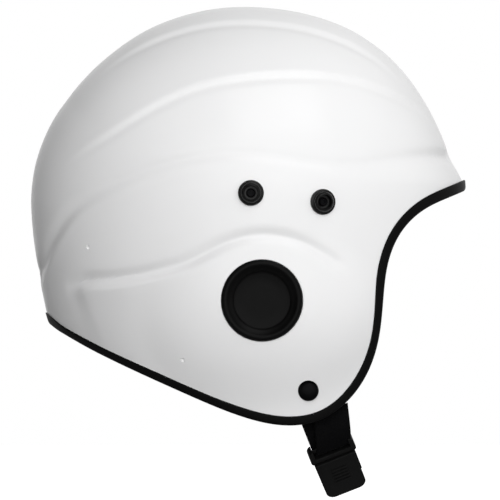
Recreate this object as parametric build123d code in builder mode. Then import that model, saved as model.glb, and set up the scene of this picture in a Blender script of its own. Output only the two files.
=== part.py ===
from build123d import *
import os
from math import cos, radians, sin, sqrt

# Open-face water helmet with covered ears, visor studs, foam liner and a webbing chin strap.
# Millimetres. The origin is midway between the two ear ports, +X is forward, +Y is the
# wearer's left and +Z is up.

os.makedirs("parts", exist_ok=True)

RIGHT, LEFT = -1, 1

# Outer form: half an ellipsoid over sides that close in slowly and a nape that curls in faster
DOME_X, DOME_Z = -10.0, 54.0
HALF_LENGTH, HALF_WIDTH, DOME_HEIGHT = 117.0, 95.0, 107.0
NAPE_DROP, SIDE_DROP = 165.0, 240.0
BROW_TOP, BROW_FULL, BROW_REACH = 80.0, 62.0, 4.6
SECTION_HEIGHTS = (BROW_TOP, 71.0, BROW_FULL, 48.0, 20.0, -15.0, -50.0, -85.0)

# Ear domes that stand out of the sides, and their ports
EAR_DOME_CENTRE = (0.0, 66.0, -6.0)
EAR_DOME_RADII = (60.0, 30.5, 52.0)
EAR_SEAT = 93.4
EAR_PORT_R = 18.0
EAR_FLANGE_R = 22.2
SEAT_MARGIN = 1.2

# Shell, rim and trim
SHELL = 3.0
TRIM_WIDTH = 4.7
TRIM_LIP = 0.7
TRIM_ROOT = 1.3
RIM_STEPS = 48
# Corners of a loop that goes round outside the helmet from the brow back to the nape
AROUND = ((150.0, 90.0), (150.0, 190.0), (-160.0, 190.0), (-160.0, 20.0))
AROUND_HALF_SPAN = 140.0
# Longer than any wall is thick, for cuts that go right through
THROUGH = 25.0
FAR = 200.0
# Lowest edge of the helmet seen from the side, from the nape along the ear flap to the brow
RIM_POINTS = (
    (-134.0, -1.0), (-119.1, -8.4), (-107.6, -19.2), (-81.0, -33.0), (-41.7, -49.9),
    (-9.5, -62.6), (12.0, -66.9), (31.0, -64.2), (47.5, -52.4), (57.4, -37.0), (62.0, -23.0),
    (65.0, 1.7), (67.2, 18.8), (74.2, 36.0), (88.0, 49.4), (102.1, 56.1), (118.0, 62.6),
)

# Liner and pads, as depths below the outer form
LINER_FACE, LINER_BACK = 3.3, 15.3
PAD_FACE, PAD_BACK = 16.2, 20.5
PATCH_FACE, PATCH_BACK = 15.4, 16.1
LINER_RIM = 9.0
SPLIT = 1.0

# Visor studs: places seen from the side, and their M4 screws
STUD_PLACES = {"rear": (-5.9, 57.3), "front": (32.4, 52.6)}
STUD_R, STUD_COLLAR_R = 7.1, 5.2
SCREW_R, SCREW_HEAD_R, SCREW_DEPTH = 2.0, 3.1, 8.6
HEX_KEY = 2.5

# Chin strap: both ends turn on screws along one axis
ANCHOR_X, ANCHOR_Z = 24.8, -48.4
ANCHOR_SEAT = 82.6
ANCHOR_INNER = 77.6
ANCHOR_SCREW_R, ANCHOR_CAP_R = 2.5, 5.5
BOSS_MARGIN, ANCHOR_SEAT_MARGIN = 2.0, 1.0
STRAP_TILT = 21.5
STRAP_Y = 64.8
WEBBING, WEBBING_T, LAYER_PITCH = 20.0, 1.6, 3.3
STRAP_DROP = 21.0
BUCKLE_ANGLE = 42.0
BEND_R = 12.5
STRAP_HOLE_GAP = 0.4


def reach(z, grow):
    """Front, rear and side distance of the form from DOME_X at height z."""
    rise = z - DOME_Z
    if rise > 0:
        close = sqrt(1 - (rise / (DOME_HEIGHT + grow)) ** 2)
        rear, side = (HALF_LENGTH + grow) * close, (HALF_WIDTH + grow) * close
        front = rear
    else:
        rear = (HALF_LENGTH + grow) * sqrt(1 - (rise / NAPE_DROP) ** 2)
        front = (HALF_LENGTH + grow) * sqrt(1 - (rise / SIDE_DROP) ** 2)
        side = (HALF_WIDTH + grow) * sqrt(1 - (rise / SIDE_DROP) ** 2)
    flare = (BROW_TOP - z) / (BROW_TOP - BROW_FULL)
    return front + BROW_REACH * min(max(flare, 0.0), 1.0), rear, side


def side_y(x, z, grow=0.0):
    """Half width of the form at a place seen from the side."""
    front, rear, side = reach(z, grow)
    middle, half = DOME_X + (front - rear) / 2, (front + rear) / 2
    return side * sqrt(1 - ((x - middle) / half) ** 2)


def shell_plane(x, z, side):
    """Plane on the form's surface at a place seen from the side, facing outward."""
    step = 0.5
    slope_x = (side_y(x + step, z) - side_y(x - step, z)) / (2 * step)
    slope_z = (side_y(x, z + step) - side_y(x, z - step)) / (2 * step)
    return Plane(
        origin=(x, side * side_y(x, z), z), x_dir=(1, side * slope_x, 0),
        z_dir=(-slope_x, side, -slope_z),
    )


def form(grow):
    """Solid inside the helmet's outer surface, grown by a distance."""
    radii = (HALF_LENGTH + grow, HALF_WIDTH + grow, DOME_HEIGHT + grow)
    crown = Pos(DOME_X, 0, DOME_Z) * scale(Sphere(1), by=radii)
    cap = split(crown, bisect_by=Plane.XY.offset(BROW_TOP), keep=Keep.TOP)
    with BuildPart() as body:
        for z in SECTION_HEIGHTS:
            front, rear, side = reach(z, grow)
            with BuildSketch(Plane.XY.offset(z)):
                with Locations((DOME_X + (front - rear) / 2, 0)):
                    Ellipse((front + rear) / 2, side)
        loft()
        add(cap)
    return body.part


def ear_domes(grow):
    """The two ellipsoids that stand out of the sides over the ears."""
    x, y, z = EAR_DOME_CENTRE
    radii = tuple(r + grow for r in EAR_DOME_RADII)
    return [Pos(x, side * y, z) * scale(Sphere(1), by=radii) for side in (RIGHT, LEFT)]


def rim_prism(inset):
    """Everything above the rim, moved into the helmet by a distance, across the whole width."""
    rim = Spline(*[(x, 0, z) for x, z in RIM_POINTS])
    moved = []
    for i in range(RIM_STEPS + 1):
        place, along = rim @ (i / RIM_STEPS), rim % (i / RIM_STEPS)
        moved.append((place.X - inset * along.Z, place.Z + inset * along.X))
    with BuildPart() as prism:
        with BuildSketch(Plane.XZ):
            with BuildLine():
                Spline(*moved)
                Polyline(moved[-1], *AROUND, moved[0])
            make_face()
        extrude(amount=AROUND_HALF_SPAN, both=True)
    return prism.part


def layer(face, back, rim_inset):
    """Curved layer of the helmet between two depths below the outer form."""
    return (form(-face) - form(-back)) & rim_prism(rim_inset)


def save(part, name):
    part.label = name
    export_step(part, f"parts/{name}.step")


# ---------------------------------------------------------------- shell and trim

def side_plane(x, z, side):
    """Upright plane through the helmet's middle, facing the wearer's right or left."""
    return Plane(origin=(x, 0, z), x_dir=(1, 0, 0), z_dir=(0, side, 0))


outer_form = form(0) + ear_domes(0)
inner_form = form(-SHELL) + ear_domes(-SHELL)
shell_edge = rim_prism(TRIM_ROOT)
port_plane = {side: side_plane(0, 0, side) for side in (RIGHT, LEFT)}
anchor_plane = {side: side_plane(ANCHOR_X, ANCHOR_Z, side) for side in (RIGHT, LEFT)}

with BuildPart() as outer_shell:
    add(outer_form)
    add(inner_form, mode=Mode.SUBTRACT)
    add(shell_edge, mode=Mode.INTERSECT)
    for side in (RIGHT, LEFT):
        # flat seat and port for the ear plug
        with BuildSketch(port_plane[side].offset(EAR_SEAT)):
            Circle(EAR_FLANGE_R + SEAT_MARGIN)
        extrude(amount=THROUGH, mode=Mode.SUBTRACT)
        with BuildSketch(port_plane[side].offset(EAR_SEAT - THROUGH / 2)):
            Circle(EAR_PORT_R)
        extrude(amount=THROUGH, mode=Mode.SUBTRACT)
        # flat boss and hole for the strap screw
        with BuildSketch(anchor_plane[side].offset(ANCHOR_INNER)):
            Circle(ANCHOR_CAP_R + BOSS_MARGIN)
        extrude(amount=ANCHOR_SEAT - ANCHOR_INNER)
        with BuildSketch(anchor_plane[side].offset(ANCHOR_SEAT)):
            Circle(ANCHOR_CAP_R + ANCHOR_SEAT_MARGIN)
        extrude(amount=THROUGH, mode=Mode.SUBTRACT)
        with BuildSketch(anchor_plane[side].offset(ANCHOR_SEAT - THROUGH / 2)):
            Circle(ANCHOR_SCREW_R)
        extrude(amount=THROUGH, mode=Mode.SUBTRACT)
        for x, z in STUD_PLACES.values():
            with BuildSketch(shell_plane(x, z, side).offset(-THROUGH / 2)):
                Circle(SCREW_R)
            extrude(amount=THROUGH, mode=Mode.SUBTRACT)
save(outer_shell.part, "outer_shell")

trim_layer = form(TRIM_LIP) - form(-SHELL - TRIM_LIP)
trim_band = rim_prism(0) - rim_prism(TRIM_WIDTH)
with BuildPart() as edge_trim:
    add(trim_layer)
    add(trim_band, mode=Mode.INTERSECT)
    add(outer_shell.part, mode=Mode.SUBTRACT)
save(edge_trim.part, "edge_trim")


# ---------------------------------------------------------------- ear plugs

# Half section of a plug: radius, and distance outward from its seat
PLUG_SECTION = (
    (0, 1.2), (13.2, 1.6), (15.4, 3.0), (18.6, 4.0), (21.2, 3.0), (EAR_FLANGE_R, 1.0),
    (EAR_FLANGE_R, 0), (EAR_PORT_R - 0.3, 0), (EAR_PORT_R - 0.3, -6), (EAR_PORT_R - 2.4, -6),
    (EAR_PORT_R - 2.4, -0.8), (0, -0.8),
)


def ear_plug(side, name):
    with BuildPart() as plug:
        with BuildSketch(Plane.XY):
            with BuildLine():
                Polyline(*[(r, side * (EAR_SEAT + h)) for r, h in PLUG_SECTION], close=True)
            make_face()
        revolve(axis=Axis.Y)
    save(plug.part, name)


ear_plug(RIGHT, "ear_plug_right")
ear_plug(LEFT, "ear_plug_left")


# ---------------------------------------------------------------- visor studs, screws and nuts

STUD_SECTION = (
    (SCREW_R, -1.0), (STUD_R, -1.0), (STUD_R, 1.2), (6.5, 2.0), (STUD_COLLAR_R, 2.0),
    (STUD_COLLAR_R, 4.3), (4.8, 4.7), (3.9, 4.7), (SCREW_HEAD_R + 0.2, 4.2),
    (SCREW_HEAD_R + 0.2, 1.4), (SCREW_R, 1.4),
)
NUT_BARREL_R, NUT_FLANGE_R, NUT_FLANGE_T = 2.9, 6.0, 1.0


def turned(plane, section):
    """Solid of revolution about a plane's normal, from radius and height pairs."""
    with BuildPart() as body:
        with BuildSketch(Plane(origin=plane.origin, x_dir=plane.x_dir, z_dir=-plane.y_dir)):
            with BuildLine():
                Polyline(*section, close=True)
            make_face()
        revolve(axis=Axis(plane.origin, plane.z_dir))
    return body.part


def hex_screw(plane):
    section = (
        (0, 3.6), (SCREW_HEAD_R - 0.5, 3.6), (SCREW_HEAD_R, 3.1), (SCREW_HEAD_R, 1.4),
        (SCREW_R, 1.4), (SCREW_R, -SCREW_DEPTH), (0, -SCREW_DEPTH),
    )
    blank = turned(plane, section)
    with BuildPart() as screw:
        add(blank)
        with BuildSketch(plane.offset(2.2)):
            RegularPolygon(HEX_KEY / 2, 6, major_radius=False)
        extrude(amount=3, mode=Mode.SUBTRACT)
    return screw.part


def tee_nut(plane):
    back = -SHELL - 0.4
    section = (
        (SCREW_R, back), (NUT_FLANGE_R, back), (NUT_FLANGE_R, back - NUT_FLANGE_T),
        (NUT_BARREL_R, back - NUT_FLANGE_T), (NUT_BARREL_R, -SCREW_DEPTH + 0.8),
        (SCREW_R, -SCREW_DEPTH + 0.8),
    )
    return turned(plane, section)


screws, nuts = [], []
for side, side_name in ((RIGHT, "right"), (LEFT, "left")):
    for place, (x, z) in STUD_PLACES.items():
        plane = shell_plane(x, z, side)
        blank = turned(plane, STUD_SECTION)
        with BuildPart() as stud:
            add(blank)
            add(outer_form, mode=Mode.SUBTRACT)
        save(stud.part, f"visor_stud_{side_name}_{place}")
        screws.append(hex_screw(plane))
        nuts.append(tee_nut(plane))
save(Compound(children=screws), "visor_screws")
save(Compound(children=nuts), "visor_tee_nuts")


# ---------------------------------------------------------------- foam liner and pads

EAR_LINE = 20.0
CROWN_CUT = 112.0
FRONT_CUT, REAR_CUT = 46.0, -62.0
NUT_POCKET_R, NUT_POCKET_DEPTH = 7.4, 9.6

liner = layer(LINER_FACE, LINER_BACK, LINER_RIM)
pockets = []
for side in (RIGHT, LEFT):
    for x, z in STUD_PLACES.values():
        plane = shell_plane(x, z, side).offset(-NUT_POCKET_DEPTH)
        from_base = (Align.CENTER, Align.CENTER, Align.MIN)
        pockets.append(plane * Cylinder(NUT_POCKET_R, THROUGH / 2, align=from_base))


def liner_piece(low, high, name):
    """The part of the foam liner inside a box given by its two corners."""
    size = [b - a for a, b in zip(low, high)]
    with BuildPart() as piece:
        add(liner)
        with Locations(low):
            Box(*size, align=Align.MIN, mode=Mode.INTERSECT)
        add(pockets, mode=Mode.SUBTRACT)
    save(piece.part, name)


liner_piece((-FAR, -FAR, CROWN_CUT + SPLIT), (FAR, FAR, FAR), "liner_crown")
liner_piece((FRONT_CUT + SPLIT, -FAR, EAR_LINE), (FAR, FAR, CROWN_CUT - SPLIT), "liner_front")
liner_piece((-FAR, -FAR, -FAR), (REAR_CUT - SPLIT, FAR, CROWN_CUT - SPLIT), "liner_rear")
liner_piece((REAR_CUT + SPLIT, -FAR, EAR_LINE), (FRONT_CUT - SPLIT, 0, CROWN_CUT - SPLIT), "liner_right")
liner_piece((REAR_CUT + SPLIT, 0, EAR_LINE), (FRONT_CUT - SPLIT, FAR, CROWN_CUT - SPLIT), "liner_left")

pad_layer = form(-PAD_FACE) - form(-PAD_BACK)
patch_layer = form(-PATCH_FACE) - form(-PATCH_BACK)
BROW_PAD_HALF, BROW_PAD_LOW, BROW_PAD_HIGH = 52.0, 70.0, 92.0
NAPE_PAD_HALF, NAPE_PAD_LOW, NAPE_PAD_HIGH = 40.0, 10.0, 40.0
CROWN_PAD_R = 38.0
PATCH_R = 9.0
# Planes inside the head's space that the front, rear and top pads lie beyond
INNER_FRONT, INNER_REAR, INNER_TOP = 20.0, -40.0, 94.0

with BuildPart() as brow_pad:
    add(pad_layer)
    with Locations((FAR / 2 + INNER_FRONT, 0, (BROW_PAD_LOW + BROW_PAD_HIGH) / 2)):
        Box(FAR, 2 * BROW_PAD_HALF, BROW_PAD_HIGH - BROW_PAD_LOW, mode=Mode.INTERSECT)
save(brow_pad.part, "brow_pad")

with BuildPart() as nape_pad:
    add(pad_layer)
    with Locations((-FAR / 2 + INNER_REAR, 0, (NAPE_PAD_LOW + NAPE_PAD_HIGH) / 2)):
        Box(FAR, 2 * NAPE_PAD_HALF, NAPE_PAD_HIGH - NAPE_PAD_LOW, mode=Mode.INTERSECT)
save(nape_pad.part, "nape_pad")

with BuildPart() as crown_pad:
    add(pad_layer)
    with BuildSketch(Plane.XY.offset(INNER_TOP)):
        with Locations((DOME_X, 0)):
            Circle(CROWN_PAD_R)
    extrude(amount=FAR, mode=Mode.INTERSECT)
save(crown_pad.part, "crown_pad")


def patch(plane):
    """Round hook patch between the liner and a pad, seen along a plane's normal."""
    with BuildPart() as disc:
        add(patch_layer)
        with BuildSketch(plane):
            Circle(PATCH_R)
        extrude(amount=FAR, mode=Mode.INTERSECT)
    return disc.part


brow_mid, nape_mid = (BROW_PAD_LOW + BROW_PAD_HIGH) / 2, (NAPE_PAD_LOW + NAPE_PAD_HIGH) / 2
BROW_PATCHES, NAPE_PATCHES, CROWN_PATCHES = (-36, 0, 36), (-24, 24), (-20, 20)
patches = [
    patch(Plane((INNER_FRONT, y, brow_mid), x_dir=(0, 1, 0), z_dir=(1, 0, 0))) for y in BROW_PATCHES
]
patches += [
    patch(Plane((INNER_REAR, y, nape_mid), x_dir=(0, 1, 0), z_dir=(-1, 0, 0))) for y in NAPE_PATCHES
]
patches += [patch(Plane((DOME_X + x, 0, INNER_TOP), z_dir=(0, 0, 1))) for x in CROWN_PATCHES]
save(Compound(children=patches), "hook_patches")

EAR_PAD_RADII, EAR_PAD_HOLE = (37.0, 33.0), 21.0
EAR_PAD_INNER, EAR_PAD_CENTRE_Z = 74.0, -3.0
EAR_PAD_GAP = 0.3

ear_pad_limit = form(-LINER_FACE - EAR_PAD_GAP)


def ear_pad(side, name):
    with BuildPart() as pad:
        with BuildSketch(side_plane(0, EAR_PAD_CENTRE_Z, side).offset(EAR_PAD_INNER)):
            Ellipse(*EAR_PAD_RADII)
            Circle(EAR_PAD_HOLE, mode=Mode.SUBTRACT)
        extrude(amount=THROUGH)
        add(ear_pad_limit, mode=Mode.INTERSECT)
        with Locations((0, 0, EAR_LINE - SPLIT)):
            Box(FAR, 2 * FAR, FAR, align=(Align.CENTER, Align.CENTER, Align.MAX), mode=Mode.INTERSECT)
    save(pad.part, name)


ear_pad(RIGHT, "ear_pad_right")
ear_pad(LEFT, "ear_pad_left")


# ---------------------------------------------------------------- strap anchors

CAP_HEIGHT = 2.6
SPACER_R = 5.0
STRAP_CLEAR = 0.3
strap_face = STRAP_Y + WEBBING_T / 2
washer_face = STRAP_Y - WEBBING_T / 2
WASHER_T, WASHER_R, NUT_T, NUT_R = 1.0, 6.0, 3.2, 4.5


def turned_pair(section):
    """A turned part on both strap anchor screws, from radius and distance from the middle."""
    return Compound(children=[turned(anchor_plane[side], section) for side in (RIGHT, LEFT)])


anchor_end = washer_face - STRAP_CLEAR - WASHER_T - NUT_T - 0.6
save(turned_pair((
    (0, anchor_end), (ANCHOR_SCREW_R, anchor_end), (ANCHOR_SCREW_R, ANCHOR_SEAT),
    (ANCHOR_CAP_R, ANCHOR_SEAT), (ANCHOR_CAP_R - 0.2, ANCHOR_SEAT + 1.0),
    (ANCHOR_CAP_R - 1.6, ANCHOR_SEAT + 2.1), (ANCHOR_CAP_R - 3.2, ANCHOR_SEAT + CAP_HEIGHT),
    (0, ANCHOR_SEAT + CAP_HEIGHT),
)), "strap_screws")
spacer_low, spacer_high = strap_face + STRAP_CLEAR, ANCHOR_INNER
save(turned_pair((
    (ANCHOR_SCREW_R, spacer_low), (SPACER_R, spacer_low), (SPACER_R, spacer_high),
    (ANCHOR_SCREW_R, spacer_high),
)), "strap_spacers")
washer_high = washer_face - STRAP_CLEAR
save(turned_pair((
    (ANCHOR_SCREW_R, washer_high - WASHER_T), (WASHER_R, washer_high - WASHER_T),
    (WASHER_R, washer_high), (ANCHOR_SCREW_R, washer_high),
)), "strap_washers")

anchor_nuts = []
for side in (RIGHT, LEFT):
    with BuildPart() as nut:
        with BuildSketch(anchor_plane[side].offset(washer_high - WASHER_T - NUT_T)):
            RegularPolygon(NUT_R, 6)
            Circle(ANCHOR_SCREW_R, mode=Mode.SUBTRACT)
        extrude(amount=NUT_T)
    anchor_nuts.append(nut.part)
save(Compound(children=anchor_nuts), "strap_nuts")


# ---------------------------------------------------------------- chin strap

# The strap hangs in a plane through the anchor axis. In that plane x is the helmet's +Y, y is
# the distance above the anchors, and the webbing's width lies along the normal.
strap_plane = Plane(
    origin=(ANCHOR_X, 0, ANCHOR_Z), x_dir=(0, 1, 0),
    z_dir=(cos(radians(STRAP_TILT)), 0, sin(radians(STRAP_TILT))),
)
turn = radians(BUCKLE_ANGLE)
# Start of the buckle's axis on the right side, where the webbing's bend ends
buckle_start = (-STRAP_Y + BEND_R * (1 - cos(turn)), -STRAP_DROP - BEND_R * sin(turn))
axis_in_plane = (sin(turn), -cos(turn))


def on_axis(along, out=0.0):
    """Point in the strap plane, along the buckle's axis and outward from it."""
    return (
        buckle_start[0] + along * axis_in_plane[0] + out * axis_in_plane[1],
        buckle_start[1] + along * axis_in_plane[1] - out * axis_in_plane[0],
    )


MIDDLE = LAYER_PITCH / 2
RAIL_WIDTH, WEB_GAP = 2.2, 0.25
BUCKLE_WIDTH, BUCKLE_R = 25.4, 2.5
MALE_LENGTH, MALE_LOW, MALE_HIGH = 9.4, -1.4, 4.7
MALE_BAR, BAR_T = (1.0, 3.6), 1.2
FEMALE_START, FEMALE_LENGTH, FEMALE_LOW, FEMALE_HIGH = 9.8, 26.0, -2.6, 5.9
SOCKET_END, SOCKET_WIDTH, SOCKET_LOW, SOCKET_HIGH = 28.4, 21.0, -0.6, 3.9
WINDOW = (17.0, 25.0)
FEMALE_SLOT_START, COVER_LOW = 29.4, 4.4
END_BAR, END_BAR_R = (32.6, 1.2), 1.1
SEWN_LENGTH, SEWN_FROM, SEWN_PITCH, SEWN_BEND_R = 16.0, 7.2, 1.75, 4.0
ARM_WIDTH, ARM_T, ARM_END, BARB = 3.2, 3.4, 26.0, 1.8
TONGUE_WIDTH, TONGUE_T, TONGUE_END = 5.0, 2.6, 25.0

across = strap_plane.z_dir
along = strap_plane.x_dir * axis_in_plane[0] + strap_plane.y_dir * axis_in_plane[1]
# Sketch plane of the buckle: x across the webbing, y along the buckle, z outward
buckle = Plane(
    origin=strap_plane.from_local_coords((*on_axis(0), 0)),
    x_dir=-across, z_dir=(-across).cross(along),
)


def strip(path_points, radii, name, hole_at):
    """Webbing of constant width along a path in the strap plane, with bends of given radii."""
    with BuildPart() as webbing:
        with BuildSketch(strap_plane):
            with BuildLine() as route:
                FilletPolyline(*path_points, radius=radii)
            trace(route.line, line_width=WEBBING_T)
        extrude(amount=WEBBING / 2, both=True)
        with BuildSketch(anchor_plane[hole_at].offset(STRAP_Y - WEBBING_T)):
            Circle(ANCHOR_SCREW_R + STRAP_HOLE_GAP)
        extrude(amount=2 * WEBBING_T, mode=Mode.SUBTRACT)
    save(webbing.part, name)


def corner(a, along_a, b, along_b):
    """Where the line from a along one direction meets the line from b along another."""
    cross = along_a[0] * along_b[1] - along_a[1] * along_b[0]
    t = ((b[0] - a[0]) * along_b[1] - (b[1] - a[1]) * along_b[0]) / cross
    return (a[0] + t * along_a[0], a[1] + t * along_a[1])


DOWN, ACROSS = (0.0, -1.0), (1.0, 0.0)
STRAP_TOP, TAIL_TOP = 9.0, -14.0
wrap = MALE_BAR[1] + WEB_GAP + WEBBING_T / 2
tail_top = (-STRAP_Y - LAYER_PITCH, TAIL_TOP)
strip(
    (
        (-STRAP_Y, STRAP_TOP),
        corner((-STRAP_Y, 0), DOWN, on_axis(0), axis_in_plane),
        on_axis(wrap),
        on_axis(wrap, LAYER_PITCH),
        corner(tail_top, DOWN, on_axis(0, LAYER_PITCH), axis_in_plane),
        tail_top,
    ),
    (BEND_R, MIDDLE - 0.02, MIDDLE - 0.02, BEND_R + LAYER_PITCH), "strap_right", RIGHT,
)

# The left webbing is sewn round the bar in the female half's end, crosses under the chin and rises.
# It leaves the bar level, behind the plate that covers the bar.
loop_r = END_BAR_R + WEB_GAP + WEBBING_T / 2
bar_x, bar_level = on_axis(*END_BAR)
chin_level = bar_level + loop_r
left_start, left_axis = (-buckle_start[0], buckle_start[1]), (axis_in_plane[0], -axis_in_plane[1])
strip(
    (
        (bar_x + SEWN_LENGTH, chin_level - SEWN_PITCH),
        (bar_x + SEWN_FROM, chin_level - SEWN_PITCH),
        (bar_x + loop_r, bar_level - loop_r),
        (bar_x - loop_r, bar_level - loop_r),
        (bar_x - loop_r, chin_level),
        corner(left_start, left_axis, (0.0, chin_level), ACROSS),
        corner((STRAP_Y, 0), DOWN, left_start, left_axis),
        (STRAP_Y, STRAP_TOP),
    ),
    (SEWN_BEND_R, SEWN_BEND_R, loop_r - 0.02, loop_r - 0.02, BEND_R, BEND_R), "strap_left", LEFT,
)


def slab(span, across_span, low, high, mode=Mode.ADD):
    """Block on the buckle's plane: a span along it, a span across it, between two heights."""
    with BuildSketch(buckle.offset(low)) as outline:
        with Locations(((across_span[0] + across_span[1]) / 2, (span[0] + span[1]) / 2)):
            Rectangle(across_span[1] - across_span[0], span[1] - span[0])
    extrude(outline.sketch, amount=high - low, mode=mode)


HALF = BUCKLE_WIDTH / 2
INSIDE = HALF - RAIL_WIDTH

with BuildPart() as buckle_male:
    slab((0, MALE_LENGTH), (-HALF, HALF), MALE_LOW, MALE_HIGH)
    fillet(buckle_male.edges().filter_by(Axis(buckle.origin, buckle.z_dir)), BUCKLE_R - 0.5)
    slab((-1, MALE_LENGTH - 3), (-INSIDE, INSIDE), MALE_LOW - 1, MALE_HIGH + 1, Mode.SUBTRACT)
    slab(MALE_BAR, (-HALF + 1, HALF - 1), MIDDLE - BAR_T / 2, MIDDLE + BAR_T / 2)
    slab(
        (MALE_LENGTH - 1, TONGUE_END), (-TONGUE_WIDTH / 2, TONGUE_WIDTH / 2),
        MIDDLE - TONGUE_T / 2, MIDDLE + TONGUE_T / 2,
    )
save(buckle_male.part, "buckle_male")

with BuildPart() as latch_arms:
    for hand in (-1, 1):
        root, tip = SOCKET_WIDTH / 2 - 0.6 - ARM_WIDTH, SOCKET_WIDTH / 2 - 0.6
        outline = (
            (root, MALE_LENGTH), (tip, MALE_LENGTH), (tip, WINDOW[0] + 0.6),
            (tip + BARB, WINDOW[0] + 1.4), (tip + BARB, WINDOW[1] - 3.0), (tip - 0.6, ARM_END),
            (root, ARM_END),
        )
        with BuildSketch(buckle.offset(MIDDLE - ARM_T / 2)):
            with BuildLine():
                Polyline(*[(hand * x, y) for x, y in outline], close=True)
            make_face()
        extrude(amount=ARM_T)
save(latch_arms.part, "buckle_latch_arms")

FEMALE_END = FEMALE_START + FEMALE_LENGTH
with BuildPart() as buckle_female:
    slab((FEMALE_START, FEMALE_END), (-HALF, HALF), FEMALE_LOW, FEMALE_HIGH)
    fillet(buckle_female.edges().filter_by(Axis(buckle.origin, buckle.z_dir)), BUCKLE_R)
    slab((0, SOCKET_END), (-SOCKET_WIDTH / 2, SOCKET_WIDTH / 2), SOCKET_LOW, SOCKET_HIGH, Mode.SUBTRACT)
    slab(WINDOW, (-HALF - 1, HALF + 1), SOCKET_LOW, SOCKET_HIGH, Mode.SUBTRACT)
    slab(
        (FEMALE_SLOT_START, FEMALE_END + 1), (-INSIDE, INSIDE), FEMALE_LOW - 1, COVER_LOW, Mode.SUBTRACT,
    )
    with BuildSketch(Plane(
        origin=buckle.from_local_coords((-HALF + 1, *END_BAR)), x_dir=buckle.y_dir, z_dir=buckle.x_dir,
    )) as bar_section:
        Circle(END_BAR_R)
    extrude(bar_section.sketch, amount=BUCKLE_WIDTH - 2)
save(buckle_female.part, "buckle_female")
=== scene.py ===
from math import atan2, ceil, cos, pi, radians, sin, tan

import bmesh
import bpy
import numpy as np
from mathutils import Matrix, Vector


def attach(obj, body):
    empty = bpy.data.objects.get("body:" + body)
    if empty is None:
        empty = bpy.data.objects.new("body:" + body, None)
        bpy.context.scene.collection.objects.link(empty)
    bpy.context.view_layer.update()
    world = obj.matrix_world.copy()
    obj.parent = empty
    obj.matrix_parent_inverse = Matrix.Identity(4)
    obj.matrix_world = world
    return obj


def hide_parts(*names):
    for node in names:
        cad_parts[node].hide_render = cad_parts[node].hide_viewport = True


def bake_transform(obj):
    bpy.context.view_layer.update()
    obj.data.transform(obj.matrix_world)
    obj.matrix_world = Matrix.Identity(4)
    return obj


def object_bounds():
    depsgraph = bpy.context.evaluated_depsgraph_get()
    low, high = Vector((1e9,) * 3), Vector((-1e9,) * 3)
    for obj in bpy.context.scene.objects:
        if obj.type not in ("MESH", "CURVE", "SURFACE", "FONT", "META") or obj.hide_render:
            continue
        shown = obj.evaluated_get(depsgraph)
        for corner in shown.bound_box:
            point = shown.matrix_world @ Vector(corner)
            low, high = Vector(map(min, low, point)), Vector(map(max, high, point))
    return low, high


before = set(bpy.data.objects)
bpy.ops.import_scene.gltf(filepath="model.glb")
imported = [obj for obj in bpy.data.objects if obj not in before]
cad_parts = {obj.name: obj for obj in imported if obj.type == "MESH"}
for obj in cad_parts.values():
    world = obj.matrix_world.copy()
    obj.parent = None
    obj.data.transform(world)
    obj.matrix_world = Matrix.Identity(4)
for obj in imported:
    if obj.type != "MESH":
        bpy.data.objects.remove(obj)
cad_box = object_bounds()

# Open-face water helmet. Lengths are in millimetres in the CAD's axes until mesh_object() makes
# them metres: +X is forward, +Y is the wearer's left, and the wearer's right side is at -Y.
MM = 0.001
RIGHT, LEFT = -1, 1


# ---------------------------------------------------------------- camera

CAMERA_PLACE = (-0.0064, -3.0, 0.0269)
CAMERA_LENS, CAMERA_SENSOR = 392.7, 36.0


def make_camera():
    camera = bpy.data.objects.new("camera", bpy.data.cameras.new("camera"))
    camera.data.sensor_width, camera.data.lens = CAMERA_SENSOR, CAMERA_LENS
    camera.location = CAMERA_PLACE
    camera.rotation_euler = (pi / 2, 0, 0)
    bpy.context.scene.collection.objects.link(camera)
    bpy.context.scene.camera = camera


make_camera()


# ---------------------------------------------------------------- node helpers

class Nodes:
    """A node tree to build in."""

    def __init__(self, tree):
        self.tree = tree

    def node(self, kind, inputs=None, **settings):
        made = self.tree.nodes.new(kind)
        for setting, value in settings.items():
            setattr(made, setting, value)
        for socket, value in (inputs or {}).items():
            if isinstance(value, bpy.types.NodeSocket):
                self.tree.links.new(value, made.inputs[socket])
            else:
                made.inputs[socket].default_value = value
        return made

    def math(self, operation, a, b):
        return self.node("ShaderNodeMath", {0: a, 1: b}, operation=operation).outputs[0]


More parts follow.
